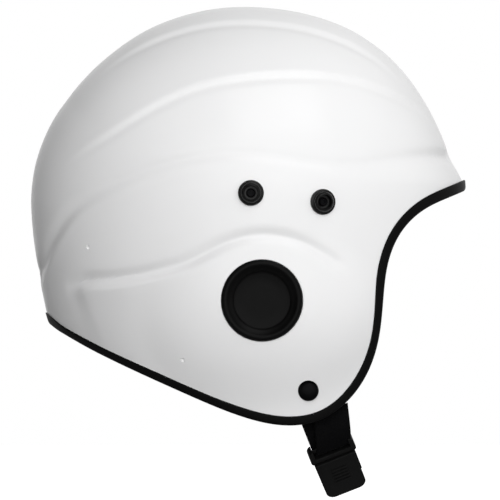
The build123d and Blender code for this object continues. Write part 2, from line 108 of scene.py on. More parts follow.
class Surface(Nodes):
    """A material's node tree, with the Principled shader's constants set on its own sockets."""

    def __init__(self, name, **sockets):
        self.material = bpy.data.materials.new(name)
        self.material.use_nodes = True
        super().__init__(self.material.node_tree)
        self.shader = self.tree.nodes["Principled BSDF"]
        for socket, value in sockets.items():
            self.shader.inputs[socket.replace("_", " ")].default_value = value
        self.place = self.node("ShaderNodeTexCoord").outputs["Object"]

    def noise(self, size_mm, detail=3.0, rough=0.55):
        """Noise whose features are about size_mm across, from 0 to 1."""
        inputs = {"Vector": self.place, "Scale": 1 / (size_mm * MM), "Detail": detail, "Roughness": rough}
        return self.node("ShaderNodeTexNoise", inputs).outputs["Fac"]

    def cells(self, size_mm, feature="F1", output="Distance"):
        inputs = {"Vector": self.place, "Scale": 1 / (size_mm * MM)}
        return self.node("ShaderNodeTexVoronoi", inputs, feature=feature).outputs[output]

    def scaled(self, value, low, high, start=0.0, end=1.0):
        """value mapped from start..end to low..high."""
        inputs = {"Value": value, "From Min": start, "From Max": end, "To Min": low, "To Max": high}
        return self.node("ShaderNodeMapRange", inputs).outputs["Result"]

    def colours(self, value, first, last):
        """Base colour between two colours."""
        ramp = self.node("ShaderNodeValToRGB", {"Fac": value})
        ramp.color_ramp.elements[0].color = (*first, 1)
        ramp.color_ramp.elements[1].color = (*last, 1)
        self.tree.links.new(ramp.outputs["Color"], self.shader.inputs["Base Color"])

    def roughness(self, value):
        self.tree.links.new(value, self.shader.inputs["Roughness"])

    def bump(self, height, distance_mm, strength=1.0):
        inputs = {"Height": height, "Distance": distance_mm * MM, "Strength": strength}
        normal = self.node("ShaderNodeBump", inputs).outputs["Normal"]
        self.tree.links.new(normal, self.shader.inputs["Normal"])


# ---------------------------------------------------------------- materials

def shell_gloss():
    s = Surface("shell_gloss", Coat_Weight=0.35, Coat_Roughness=0.08, IOR=1.5)
    s.colours(s.noise(45, 2), (0.835, 0.835, 0.838), (0.87, 0.87, 0.873))
    s.roughness(s.scaled(s.noise(9, 4), 0.26, 0.36))
    s.bump(s.noise(2.2, 1), 0.02, 0.35)
    return s.material


def rubber(name, tone, grain_mm, low, high):
    s = Surface(name, Specular_IOR_Level=0.14)
    s.colours(s.noise(6, 4), (tone * 0.75,) * 3, (tone * 1.3,) * 3)
    s.roughness(s.scaled(s.noise(3, 3), low, high))
    s.bump(s.math("ADD", s.noise(grain_mm, 2), s.scaled(s.noise(grain_mm * 7, 2), 0, 0.6)), 0.05, 0.5)
    return s.material


def moulded(name, tone, low, high, grain_mm=0.35, gloss=0.3):
    """Moulded plastic with a fine eroded texture."""
    s = Surface(name, Specular_IOR_Level=gloss)
    s.colours(s.noise(4, 4), (tone * 0.8,) * 3, (tone * 1.25,) * 3)
    s.roughness(s.scaled(s.noise(2, 4), low, high))
    s.bump(s.cells(grain_mm), 0.03, 0.5)
    return s.material


def metal(name, tone, low, high):
    s = Surface(name, Metallic=0.95)
    s.colours(s.noise(2.5, 5), tuple(c * 0.8 for c in tone), tone)
    s.roughness(s.scaled(s.noise(1.2, 5), low, high))
    s.bump(s.noise(0.25, 3), 0.01, 0.5)
    return s.material


def foam():
    """Closed-cell foam with a skinned, softly pitted face."""
    s = Surface("liner_foam", Specular_IOR_Level=0.3)
    pits = s.math("ADD", s.cells(1.3), s.scaled(s.noise(0.5, 3), 0, 0.4))
    # The colour follows the pits: darker down in them as painted shade, with a random mottle of tone laid
    # over it.
    tone = s.math("MULTIPLY", pits, s.scaled(s.noise(25, 3), 0.7, 1.2))
    s.colours(tone, (0.05, 0.052, 0.055), (0.12, 0.124, 0.13))
    s.roughness(s.scaled(s.noise(4, 3), 0.72, 0.92))
    s.bump(pits, 0.22, 0.7)
    return s.material


def pad_cloth():
    """Brushed knit over the pads."""
    s = Surface("pad_cloth", Sheen_Weight=0.5, Sheen_Roughness=0.5, Specular_IOR_Level=0.25)
    rows = s.node("ShaderNodeTexWave", {"Vector": s.place, "Scale": 190.0, "Distortion": 1.5,
                                        "Detail": 2.0}, bands_direction="Z").outputs["Fac"]
    columns = s.node("ShaderNodeTexWave", {"Vector": s.place, "Scale": 230.0, "Distortion": 1.5,
                                           "Detail": 2.0}, bands_direction="DIAGONAL").outputs["Fac"]
    knit = s.math("MULTIPLY", rows, columns)
    s.colours(s.math("ADD", s.scaled(knit, 0, 0.6), s.scaled(s.noise(7, 4), 0, 0.4)),
              (0.022, 0.024, 0.028), (0.085, 0.089, 0.098))
    s.roughness(s.scaled(s.noise(3, 3), 0.75, 0.95))
    s.bump(s.math("ADD", knit, s.scaled(s.noise(0.4, 2), 0, 0.5)), 0.12, 0.8)
    return s.material


def hook_cloth():
    s = Surface("hook_cloth", Sheen_Weight=0.3, Sheen_Roughness=0.4)
    loops = s.cells(0.7, "SMOOTH_F1")
    s.colours(loops, (0.05, 0.05, 0.055), (0.012, 0.012, 0.014))
    s.roughness(s.scaled(s.noise(2, 2), 0.7, 0.9))
    s.bump(loops, 0.4, 1.0)
    return s.material


def webbing_cloth():
    """Nylon webbing: the ribs are in the mesh, and the yarn's filaments are in the bump."""
    s = Surface("webbing_cloth", Sheen_Weight=0.02, Sheen_Roughness=0.35, Specular_IOR_Level=0.05)
    yarn = s.noise(0.3, 3, 0.7)
    s.colours(s.math("ADD", s.scaled(yarn, 0, 0.5), s.scaled(s.noise(5, 3), 0, 0.5)),
              (0.0012, 0.0012, 0.0014), (0.005, 0.005, 0.0055))
    s.roughness(s.scaled(s.noise(1.5, 3), 0.55, 0.75))
    s.bump(yarn, 0.1, 0.8)
    return s.material


MATERIALS = {
    "shell_white": shell_gloss(),
    "rubber_black": rubber("trim_rubber", 0.0025, 0.4, 0.38, 0.5),
    "plug_rubber": rubber("ear_plug_rubber", 0.002, 0.5, 0.30, 0.42),
    "stud_black": moulded("stud_nylon", 0.005, 0.18, 0.28, gloss=0.4),
    "screw_black": metal("screw_black_oxide", (0.01, 0.01, 0.011), 0.28, 0.42),
    "nut_steel": metal("nut_zinc", (0.62, 0.62, 0.60), 0.28, 0.45),
    "spacer_nylon": moulded("spacer_nylon", 0.05, 0.4, 0.5),
    "foam_grey": foam(),
    "pad_fabric": pad_cloth(),
    "hook_tape": hook_cloth(),
    "webbing_black": webbing_cloth(),
    "buckle_black": moulded("buckle_acetal", 0.003, 0.28, 0.42),
}


# ---------------------------------------------------------------- mesh helpers

def link(name, mesh):
    piece = bpy.data.objects.new(name, mesh)
    bpy.context.scene.collection.objects.link(piece)
    return piece


def mesh_object(name, parts, sharp=40.0):
    """One object from several (points in mm, faces) parts, smooth but for its sharp edges."""
    build = bmesh.new()
    for points, faces in parts:
        corners = [build.verts.new(Vector(p) * MM) for p in points]
        for face in faces:
            build.faces.new([corners[i] for i in face])
    bmesh.ops.recalc_face_normals(build, faces=build.faces)
    mesh = bpy.data.meshes.new(name)
    build.to_mesh(mesh)
    build.free()
    piece = link(name, mesh)
    shade(piece, sharp)
    return piece


def shade(piece, sharp=40.0):
    piece.data.polygons.foreach_set("use_smooth", [True] * len(piece.data.polygons))
    piece.data.set_sharp_from_angle(angle=radians(sharp))


def finish_piece(piece, slot, body, *nodes):
    """Material, slot, body and the CAD nodes that a piece stands for."""
    piece.data.materials.clear()
    piece.data.materials.append(MATERIALS[slot])
    if nodes:
        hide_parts(*nodes)
    if body:
        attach(piece, body)
    return piece


def applied(piece, kind, **settings):
    """The piece with one modifier applied to its mesh."""
    modifier = piece.modifiers.new(kind.lower(), kind)
    for setting, value in settings.items():
        setattr(modifier, setting, value)
    result = bpy.data.meshes.new_from_object(piece.evaluated_get(bpy.context.evaluated_depsgraph_get()))
    piece.modifiers.clear()
    piece.data = result
    return piece


def cut(piece, cutter):
    """The piece less the cutter, which is then removed."""
    applied(piece, "BOOLEAN", operation="DIFFERENCE", solver="EXACT", object=cutter)
    bpy.data.objects.remove(cutter)
    return piece


def axes_of(way):
    """Two directions square to a direction and to each other."""
    way = Vector(way).normalized()
    side = way.orthogonal().normalized()
    return side, way.cross(side), way


def turned(profile, origin, way, count=96):
    """Points and faces of a profile of (radius, height) pairs turned about an axis."""
    a, b, axis = axes_of(way)
    points, rings = [], []
    for radius, height in profile:
        centre = Vector(origin) + axis * height
        steps = 1 if radius == 0 else count
        rings.append([len(points) + i for i in range(steps)])
        for i in range(steps):
            angle = 2 * pi * i / count
            points.append(centre + (a * cos(angle) + b * sin(angle)) * radius)
    faces = []
    closed = [] if profile[0][0] == 0 and profile[-1][0] == 0 else [(rings[-1], rings[0])]
    for low, high in [*zip(rings, rings[1:]), *closed]:
        for i in range(count):
            j = (i + 1) % count
            corners = [low[i % len(low)], low[j % len(low)], high[j % len(high)], high[i % len(high)]]
            corners = list(dict.fromkeys(corners))
            if len(corners) > 2:
                faces.append(corners)
    return points, faces


def rounded(points, radii, steps=8):
    """A polyline with its inner corners rounded by the given radii."""
    points = [Vector(p) for p in points]
    path = [points[0]]
    for before, corner, after, radius in zip(points, points[1:], points[2:], radii):
        u, v = (before - corner).normalized(), (after - corner).normalized()
        half = u.angle(v) / 2
        centre = corner + (u + v).normalized() * (radius / sin(half))
        first, last = corner + u * (radius / tan(half)) - centre, corner + v * (radius / tan(half)) - centre
        sweep = first.angle(last)
        for i in range(steps + 1):
            f = i / steps
            share = (sin((1 - f) * sweep) * first + sin(f * sweep) * last) / sin(sweep)
            path.append(centre + share)
    return [*path, points[-1]]


def even(points, count):
    """The polyline's points spaced evenly along it."""
    points = np.array(points, float)
    run = np.concatenate([[0], np.cumsum(np.linalg.norm(np.diff(points, axis=0), axis=1))])
    at = np.linspace(0, run[-1], count)
    return np.stack([np.interp(at, run, axis) for axis in points.T], axis=1)


def tube(path, radius, closed=False, sides=8):
    """Points and faces of a round tube along a path in mm."""
    path = np.array(path, float)
    if closed:
        ways = np.roll(path, -1, axis=0) - np.roll(path, 1, axis=0)
    else:
        ways = np.gradient(path, axis=0)
    points, faces = [], []
    side = Vector(ways[0]).orthogonal().normalized()
    for centre, way in zip(path, ways):
        way = Vector(way).normalized()
        side = (side - way * side.dot(way)).normalized()
        other = way.cross(side)
        for i in range(sides):
            angle = 2 * pi * i / sides
            points.append(Vector(centre) + (side * cos(angle) + other * sin(angle)) * radius)
    count = len(path)
    for i in range(count if closed else count - 1):
        for j in range(sides):
            k = (j + 1) % sides
            n = (i + 1) % count
            faces.append((i * sides + j, i * sides + k, n * sides + k, n * sides + j))
    if not closed:
        faces.append(tuple(range(sides))[::-1])
        faces.append(tuple((count - 1) * sides + j for j in range(sides)))
    return points, faces


# ---------------------------------------------------------------- the helmet's form

DOME_X, DOME_Z = -10.0, 54.0
HALF_LENGTH, HALF_WIDTH, DOME_HEIGHT = 117.0, 95.0, 107.0
NAPE_DROP, SIDE_DROP = 165.0, 240.0
BROW_TOP, BROW_FULL, BROW_REACH = 80.0, 62.0, 4.6
CROWN_SHIFT, CROWN_LOW, CROWN_HIGH = 2.5, 95.0, 140.0
EAR_CENTRE = np.array((0.0, 66.0, -6.0))
EAR_RADII = np.array((60.0, 30.5, 52.0))
EAR_BLEND = 9.0
SHELL = 3.0
RIM_POINTS = (
    (-130.0, -8.0), (-116.0, -13.4), (-110.0, -17.4), (-105.5, -20.0), (-96.8, -24.7),
    (-81.0, -32.4), (-41.7, -49.9),
    (-9.5, -62.6), (12.0, -66.9), (31.0, -64.2), (47.5, -52.4), (57.4, -37.0), (62.0, -23.0),
    (65.0, 1.7), (67.2, 18.8), (74.2, 36.0), (88.0, 49.4), (102.1, 56.1), (118.0, 62.6),
)


def ease(low, high, value):
    t = np.clip((value - low) / (high - low), 0, 1)
    return t * t * (3 - 2 * t)


def body_value(p, grow):
    """Below 0 inside the domed body and above 0 outside it."""
    z = p[..., 2]
    x = p[..., 0] - CROWN_SHIFT * ease(CROWN_LOW, CROWN_HIGH, z)
    y = p[..., 1]
    length, width, height = HALF_LENGTH + grow, HALF_WIDTH + grow, DOME_HEIGHT + grow
    rise = z - DOME_Z
    dome = np.sqrt(((x - DOME_X) / length) ** 2 + (y / width) ** 2 + (rise / height) ** 2) - 1
    up, down = np.clip(rise, 0, BROW_TOP - DOME_Z), np.clip(rise, -150, 0)
    narrow = np.sqrt(1 - (up / height) ** 2)
    side = narrow * np.sqrt(1 - (down / SIDE_DROP) ** 2)
    back = narrow * np.sqrt(1 - (down / NAPE_DROP) ** 2)
    front = length * side + BROW_REACH * ease(0, BROW_TOP - BROW_FULL, BROW_TOP - z)
    rear = length * back
    middle, half = DOME_X + (front - rear) / 2, (front + rear) / 2
    walls = np.sqrt(((x - middle) / half) ** 2 + (y / (width * side)) ** 2) - 1
    return np.where(z > BROW_TOP, dome, walls)


def ear_value(p, grow):
    """The same for the domes over the ears."""
    place = np.stack([p[..., 0], np.abs(p[..., 1]), p[..., 2]], axis=-1) - EAR_CENTRE
    return np.sqrt(((place / (EAR_RADII + grow)) ** 2).sum(axis=-1)) - 1


def distance(value, p, grow, step=0.05):
    here = value(p, grow)
    slopes = [(value(p + step * axis, grow) - here) / step for axis in np.eye(3)]
    return here / np.sqrt(sum(s * s for s in slopes) + 1e-12)


def field(p, grow=0.0):
    """Distance outward from the form, with the ear domes blended into it."""
    a, b = distance(body_value, p, grow), distance(ear_value, p, grow)
    near = np.maximum(EAR_BLEND - np.abs(a - b), 0) / EAR_BLEND
    return np.minimum(a, b) - near * near * EAR_BLEND / 4


def cast(start, way, grow=0.0, far=260.0):
    """Where rays from inside the form leave it."""
    start, way = np.broadcast_arrays(np.array(start, float), np.array(way, float))
    low, high = np.zeros(start.shape[:-1]), np.full(start.shape[:-1], far)
    for _ in range(26):
        middle = (low + high) / 2
        outside = field(start + middle[..., None] * way, grow) > 0
        high, low = np.where(outside, middle, high), np.where(outside, low, middle)
    return start + low[..., None] * way


def outward(p, grow=0.0, step=0.3):
    """Unit normals of the form."""
    slopes = [field(p + step * axis, grow) - field(p - step * axis, grow) for axis in np.eye(3)]
    normal = np.stack(slopes, axis=-1)
    return normal / np.linalg.norm(normal, axis=-1, keepdims=True)


def smooth_curve(points, count):
    """Natural cubic spline through points, spaced by chord."""
    points = np.array(points, float)
    knots = np.concatenate([[0], np.cumsum(np.linalg.norm(np.diff(points, axis=0), axis=1))])
    gaps, last = np.diff(knots), len(points) - 1
    system, target = np.eye(last + 1), np.zeros_like(points)
    for i in range(1, last):
        system[i, i - 1:i + 2] = gaps[i - 1], 2 * (gaps[i - 1] + gaps[i]), gaps[i]
        slope = (points[i + 1] - points[i]) / gaps[i] - (points[i] - points[i - 1]) / gaps[i - 1]
        target[i] = 6 * slope
    bend = np.linalg.solve(system, target)
    at = np.linspace(0, knots[-1], count)
    i = np.clip(np.searchsorted(knots, at, side="right") - 1, 0, last - 1)
    b = ((at - knots[i]) / gaps[i])[:, None]
    a = 1 - b
    curve = (a ** 3 - a) * bend[i] + (b ** 3 - b) * bend[i + 1]
    return a * points[i] + b * points[i + 1] + curve * (gaps[i] ** 2)[:, None] / 6


def on_right(places):
    """Points of the form on the wearer's right, at places seen from the side."""
    places = np.array(places, float)
    middle = np.stack([places[:, 0], np.zeros(len(places)), places[:, 1]], axis=1)
    return cast(middle, (0, -1, 0))


def unit(v):
    return v / np.linalg.norm(v, axis=-1, keepdims=True)


# ---------------------------------------------------------------- relief in the shell's face

def side_distance(p, places, count=220):
    """Distance from a line on the form, positive above it, and how far along it, from 0 to 1."""
    line = on_right(smooth_curve(places, count))
    up = unit(np.cross(outward(line), np.gradient(line, axis=0)))
    far, share = np.empty(len(p)), np.empty(len(p))
    for start in range(0, len(p), 8000):
        block = p[start:start + 8000]
        gap = block[:, None, :] - line[None]
        square = (gap ** 2).sum(axis=2)
        nearest = square.argmin(axis=1)
        rows = np.arange(len(block))
        sign = np.sign((gap[rows, nearest] * up[nearest]).sum(axis=1))
        far[start:start + 8000] = np.sqrt(square[rows, nearest]) * sign
        share[start:start + 8000] = nearest / (count - 1)
    return far, share


TERRACE_LINE = (
    (-114.0, 67.0), (-104.0, 76.0), (-85.0, 88.5), (-60.0, 103.5), (-35.5, 114.4), (-6.4, 120.3),
    (20.5, 121.8), (47.5, 119.3), (75.0, 110.5), (89.0, 102.5), (97.0, 92.0),
)
CREASE_LINE = (
    (-124.0, 12.0), (-119.5, 21.0), (-115.0, 31.0), (-110.0, 39.0), (-101.0, 49.5), (-87.0, 58.5),
    (-66.0, 68.0), (-38.8, 75.5), (-11.8, 78.2), (15.2, 75.8), (42.2, 72.4), (63.8, 74.2),
    (84.0, 77.5), (104.0, 78.6),
)
ARCH_LINE = (
    (-104.0, 7.0), (-96.0, 9.8), (-83.5, 11.2), (-72.4, 12.6), (-55.8, 16.0), (-38.6, 21.0),
    (-22.0, 29.4), (0.0, 34.6), (22.9, 30.2), (36.0, 23.0), (46.0, 16.0),
)
# The bulge under the arch ends at the rear in a soft corner that runs down from the arch's end.
BULGE_END, BULGE_LEAN = -102.5, 0.37

# Steps, depths and swells in mm. A table runs from its line's rear end at 0 to its front end at 1.
TERRACE_STEP, TERRACE_GROOVE = 0.95, 0.55
CREASE_DEPTH = ((0, 1.5), (0.1, 1.5), (0.25, 1.3), (0.45, 1.15), (0.7, 0.95), (0.9, 1.1), (1, 1.9))
VALLEY_DEPTH = (
    (0, 0.8), (0.06, 2.6), (0.15, 2.6), (0.34, 2.1), (0.6, 1.6), (0.85, 1.5), (0.95, 1.2), (1, 0),
)
VALLEY_WIDTH = 3.2
BULGE_SWELL = ((0, 2.4), (0.08, 3.6), (0.3, 3.0), (0.6, 1.5), (1, 0))

# Outline over the middle of the top: degrees round from the front, and mm out of the form
OUTLINE = (
    (12, 0), (20, -0.7), (30, -1.2), (42, -1.6), (55, -0.9), (65, -0.75), (85, -1.5), (100, -1.1),
    (120, -1.25), (130, -1.3), (141, -2.1), (150, -1.4), (158, -0.6), (168, -0.2), (180, -0.9),
    (188, -1.3), (196, -0.5), (202, 0),
)
OUTLINE_CENTRE = (-6.4, 26.9)
CREST_MIDDLE, CREST_HALF, CREST_NARROW = -7.0, 39.5, 8.5


def by_table(at, table):
    """Value of a table of (place, value) pairs at some places."""
    return np.interp(at, *zip(*table))


def relief(p):
    """How far the shell's face stands out of the form at points on the wearer's right."""
    x, y = p[:, 0], np.abs(p[:, 1])
    # raised band along the crown, with a groove at its foot
    along = (x - CREST_MIDDLE) / 80
    inside = CREST_HALF - CREST_NARROW * along ** 2 - y
    crest = ease(1.1, 0.62, np.abs(along)) * (p[:, 2] > 90)
    height = crest * (0.9 * ease(-1.5, 2.5, inside) - 0.45 * np.exp(-((inside + 3.0) / 2.4) ** 2))
    # terrace that stands out and drops to the panel below
    d, f = side_distance(p, TERRACE_LINE)
    fade = ease(0.02, 0.2, f) * ease(1.0, 0.86, f)
    height += TERRACE_STEP * fade * ease(-3.2, 1.2, d) * np.exp(-np.maximum(d - 1.2, 0) / 8.0)
    height -= TERRACE_GROOVE * fade * np.exp(-((d + 2.4) / 2.6) ** 2)
    # crease from the nape to the notch in the brow
    d, f = side_distance(p, CREASE_LINE)
    width = by_table(f, ((0.1, 4.6), (0.4, 3.2)))
    height -= by_table(f, CREASE_DEPTH) * np.exp(-(d / width) ** 2)
    height += 0.4 * ease(0.6, 0.3, f) * np.exp(-((d + 5.5) / 3.5) ** 2)
    # valley over the ear, and the bulge under it
    d, f = side_distance(p, ARCH_LINE)
    swell = by_table(f, BULGE_SWELL)
    run = x - BULGE_END + BULGE_LEAN * (p[:, 2] - 7.5)
    rear = 0.65 * ease(-2, 7, run) + 0.35 * ease(0, 34, run)
    height -= by_table(f, VALLEY_DEPTH) * np.exp(-(d / VALLEY_WIDTH) ** 2)
    height += swell * rear * ease(1.0, -5.5, d) * np.exp(np.minimum(d, 0) / 20.0)
    angle = np.degrees(np.arctan2(p[:, 2] - OUTLINE_CENTRE[1], x - OUTLINE_CENTRE[0])) % 360
    return height + by_table(angle, OUTLINE) * ease(85, 30, y)


# ---------------------------------------------------------------- rim line

TRIM_WIDTH, TRIM_LIP, TRIM_ROOT = 4.7, 0.85, 1.3
TRIM_SPREAD, BROW_SPREAD, NAPE_SPREAD = 0.12, 0.22, 0.3
# Where the trim starts to widen and thin towards the nape, where that is full, and how much it thins
NAPE_START, NAPE_FULL, NAPE_LIP = -106, -114, 0.7


def rim_line():
    """The rim on the wearer's right, from the nape's middle to the brow's middle."""
    places = smooth_curve(RIM_POINTS, 5000)
    middle = np.stack([places[:, 0], np.zeros(len(places)), places[:, 1]], axis=1)
    within = np.flatnonzero(field(middle) < 0)
    ends = []
    for inner, outer in ((within[0], within[0] - 1), (within[-1], within[-1] + 1)):
        a, b = field(middle[[inner, outer]])
        ends.append(middle[inner] + (middle[outer] - middle[inner]) * a / (a - b))
    sides = on_right(places[within])
    return np.concatenate([ends[:1], sides, ends[1:]])


RIM = rim_line()


def mirrored(points):
    return np.array(points) * (1, -1, 1)


def rim_loop(count):
    """Places round the whole rim, with its outward normal and its direction away from the shell."""
    half = even(RIM, count)
    loop = np.concatenate([half, mirrored(half)[-2:0:-1]])
    normal = outward(loop)
    along = unit(np.roll(loop, -1, axis=0) - np.roll(loop, 1, axis=0))
    return loop, normal, unit(np.cross(along, normal))


# ---------------------------------------------------------------- outer shell

POLE = np.array((-5.9, 0.0, 57.3))
RIM_STEPS, TOP_STEPS, RINGS, INNER_RINGS = 210, 240, 92, 14
EAR_SEAT, EAR_PORT_R, EAR_SEAT_R = 93.4, 18.0, 22.0
ANCHOR_X, ANCHOR_Z, ANCHOR_SEAT, ANCHOR_CAP_R = 24.8, -48.4, 82.6, 5.5
MARK_PLACES = ((-93.7, 28.5), (-42.2, -31.9))


def half_edge():
    """The edge of the right half of the shell: its rim, then back over the middle of the top."""
    loop, _, away = rim_loop(RIM_STEPS)
    rim = loop[:RIM_STEPS] - away[:RIM_STEPS] * TRIM_ROOT
    rim[[0, -1], 1] = 0
    first, last = [atan2(*(rim[i] - POLE)[[2, 0]]) for i in (-1, 0)]
    angles = np.linspace(first, last + 2 * pi, 1500)
    ways = np.stack([np.cos(angles), np.zeros(len(angles)), np.sin(angles)], axis=1)
    top = even(cast(POLE, ways), TOP_STEPS + 1)
    return np.concatenate([rim, top[1:-1]])


def half_grid(rings, start):
    """Points of the form in rings from the pole on the wearer's right out to the half's edge."""
    pole, ways = np.array((0.0, -1.0, 0.0)), unit(half_edge() - POLE)
    turn = np.arccos(ways @ pole)[None, :, None]
    share = np.linspace(start, 1, rings)[:, None, None]
    ways = (np.sin((1 - share) * turn) * pole + np.sin(share * turn) * ways) / np.sin(turn)
    return cast(POLE, ways)


def half_faces(rings, columns, first):
    """Faces of a half's grid whose points start at index first, with the pole's point last."""
    faces = []
    for r in range(rings - 1):
        for c in range(columns):
            n = (c + 1) % columns
            a, b = first + r * columns, first + (r + 1) * columns
            faces.append((a + c, a + n, b + n, b + c))
    pole = first + rings * columns
    return faces + [(pole, first + (c + 1) % columns, first + c) for c in range(columns)]


def shell_half():
    """Right half of the shell: outer face, inner face and the edge between them."""
    outer = half_grid(RINGS, 0.03)
    columns = outer.shape[1]
    middle = RIM_STEPS - 1
    flat = outer.reshape(-1, 3)
    outer = (flat + outward(flat) * relief(flat)[:, None]).reshape(outer.shape)
    inner = half_grid(INNER_RINGS, 0.03)
    inner = inner - outward(inner) * SHELL
    for face in (outer, inner):
        face[-1, middle:, 1] = 0
        face[-1, 0, 1] = 0
    points, faces = [], []
    for face, rings in ((outer, RINGS), (inner, INNER_RINGS)):
        faces += half_faces(rings, columns, len(points))
        points += [*face.reshape(-1, 3), face[0].mean(axis=0)]
    a, b = (RINGS - 1) * columns, RINGS * columns + 1 + (INNER_RINGS - 1) * columns
    faces += [(a + c, a + c + 1, b + c + 1, b + c) for c in range(middle)]
    return np.array(points), faces


# Cutters start inside the head and end clear of the shell; the distances are from the middle plane.
CUT_START, PORT_CUT_END, HOLE_CUT_END, ANCHOR_HOLE_R = 70, 112, 96, 2.6


def seated_hole(radius, seat_radius, seat, end):
    """Profile of a round hole with a wider seat at its outer end."""
    return (
        (0, CUT_START), (radius, CUT_START), (radius, seat),
        (seat_radius, seat), (seat_radius, end), (0, end),
    )


def shell_cutter():
    """Ear ports with their seats, strap screw holes with theirs, and the moulding's small marks."""
    parts = []
    for side in (RIGHT, LEFT):
        port = seated_hole(EAR_PORT_R, EAR_SEAT_R, EAR_SEAT, PORT_CUT_END)
        hole = seated_hole(ANCHOR_HOLE_R, ANCHOR_CAP_R + 0.15, ANCHOR_SEAT, HOLE_CUT_END)
        parts.append(turned(port, (0, 0, 0), (0, side, 0), 128))
        parts.append(turned(hole, (ANCHOR_X, 0, ANCHOR_Z), (0, side, 0), 48))
        bead = [(1.3 * sin(pi * i / 12), -1.3 * cos(pi * i / 12)) for i in range(1, 12)]
        for place in on_right(MARK_PLACES):
            spot = (place + outward(place[None])[0] * (relief(place[None])[0] + 0.35)) * (1, -side, 1)
            parts.append(turned([(0, -1.3), *bead, (0, 1.3)], spot, (0, side, 0), 24))
    return mesh_object("shell_cutter", parts)


def make_shell():
    points, faces = shell_half()
    shell = mesh_object("shell", [(points, faces), (mirrored(points), [f[::-1] for f in faces])])
    build = bmesh.new()
    build.from_mesh(shell.data)
    bmesh.ops.remove_doubles(build, verts=build.verts, dist=1e-6)
    bmesh.ops.recalc_face_normals(build, faces=build.faces)
    build.to_mesh(shell.data)
    build.free()
    cut(shell, shell_cutter())
    shade(shell, 32)
    finish_piece(shell, "shell_white", "helmet", "outer_shell")


make_shell()


# ---------------------------------------------------------------- edge trim

def trim_profile():
    """Rounded U section: how far inward from the rim, and how far out of the shell's face."""
    back, top, bottom = -TRIM_WIDTH, TRIM_LIP, -SHELL - TRIM_LIP
    outline = rounded(
        ((back, 0.1), (back, top), (0, top), (0, bottom), (back, bottom), (back, -SHELL - 0.1)),
        (0.6, 1.9, 1.9, 0.6), 6,
    )
    slot = [(back + 0.1, -SHELL), (-TRIM_ROOT, -SHELL), (-TRIM_ROOT, 0), (back + 0.1, 0)]
    return [tuple(p) for p in outline] + slot


def make_trim():
    profile = trim_profile()
    loop, normal, away = rim_loop(260)
    spread = 1 + TRIM_SPREAD + BROW_SPREAD * ease(40, 65, loop[:, 0])
    nape = ease(NAPE_START, NAPE_FULL, loop[:, 0])
    spread += NAPE_SPREAD * nape
    lip = 1 - NAPE_LIP * nape
    points = [
        place + away[i] * (spread[i] * (inward + TRIM_WIDTH / 2) - TRIM_WIDTH / 2)
        + normal[i] * (rise * lip[i] if rise > 0 else rise)
        for i, place in enumerate(loop) for inward, rise in profile
    ]
    n, count = len(profile), len(loop)
    faces = [
        (i * n + j, i * n + (j + 1) % n, (i + 1) % count * n + (j + 1) % n, (i + 1) % count * n + j)
        for i in range(count) for j in range(n)
    ]
    finish_piece(mesh_object("rim_trim", [(points, faces)], 50), "rubber_black", "helmet", "edge_trim")


make_trim()


# ---------------------------------------------------------------- ear plugs

def make_plug(side, name, node):
    """Dished rubber plug: a rolled flange round a sunk disc, with a hollow spigot behind."""
    face = [(0, 1.1), (9, 1.05), (14.2, 1.1), (15.0, 1.3), (15.4, 1.9), (16.4, 2.35), (17.8, 3.0)]
    roll = [(19.7 + 2.1 * sin(a), 1.9 + 2.1 * cos(a)) for a in np.linspace(-0.75, pi / 2, 12)]
    port, hollow = EAR_PORT_R, EAR_PORT_R - 2.4
    spigot = [
        (21.8, 0.4), (21.6, 0), (port - 0.3, 0), (port - 0.3, -3.6), (port + 0.1, -4.1),
        (port + 0.1, -4.9), (port - 0.8, -6), (hollow, -6), (hollow, -0.8), (0, -0.8),
    ]
    plug = mesh_object(name, [turned(face + roll + spigot, (0, side * EAR_SEAT, 0), (0, side, 0), 144)], 38)
    finish_piece(plug, "plug_rubber", node, node)


make_plug(RIGHT, "ear_plug_right_dish", "ear_plug_right")
make_plug(LEFT, "ear_plug_left_dish", "ear_plug_left")


# ---------------------------------------------------------------- visor studs and screws

STUD_PLACES = {"rear": (-5.9, 57.3), "front": (32.4, 52.6)}
STUD_PROFILE = (
    (2.1, -0.8), (6.8, -0.8), (6.9, -0.3), (6.9, 0.7), (6.75, 1.15), (6.4, 1.35), (5.8, 1.4), (5.5, 1.6),
    (5.4, 2.1), (5.35, 3.1), (5.2, 3.4), (4.2, 4.4), (4.0, 4.45), (3.85, 4.3), (3.75, 3.0), (3.7, 0.6),
    (3.5, 0.3), (2.1, 0.2),
)
SCREW_PROFILE = (
    (0, -8.6), (2.0, -8.6), (2.0, 0.2), (2.35, 0.2), (2.5, 0.4), (2.5, 1.3), (2.3, 1.75), (2.0, 1.9),
    (1.75, 1.85), (1.6, 1.7),
)
HEX_R, HEX_DEPTH = 1.44, 1.4


def stud_place(x, z, side):
    """Where a stud's axis meets the form, and its outward direction."""
    place = on_right([(x, z)])[0]
    normal = outward(place[None])[0]
    flip = np.array((1, -side, 1))
    return Vector(place * flip), Vector(normal * flip)


def hex_head(profile, origin, way):
    """Turned screw whose top ring runs in to a hexagonal socket."""
    count = 48
    points, faces = turned(profile[1:], origin, way, count)
    faces = faces[:(len(profile) - 2) * count]
    a, b, axis = axes_of(way)
    rings = [(len(profile) - 2) * count]
    for height in (profile[-1][1], profile[-1][1] - HEX_DEPTH):
        rings.append(len(points))
        for i in range(count):
            angle = 2 * pi * i / count
            flat = HEX_R * cos(pi / 6) / cos((angle % (pi / 3)) - pi / 6)
            points.append(Vector(origin) + axis * height + (a * cos(angle) + b * sin(angle)) * flat)
    for low, high in zip(rings, rings[1:]):
        faces += [(low + i, low + (i + 1) % count, high + (i + 1) % count, high + i) for i in range(count)]
    faces.append(tuple(rings[-1] + i for i in range(count)))
    faces.append(tuple(range(count)))
    return points, faces


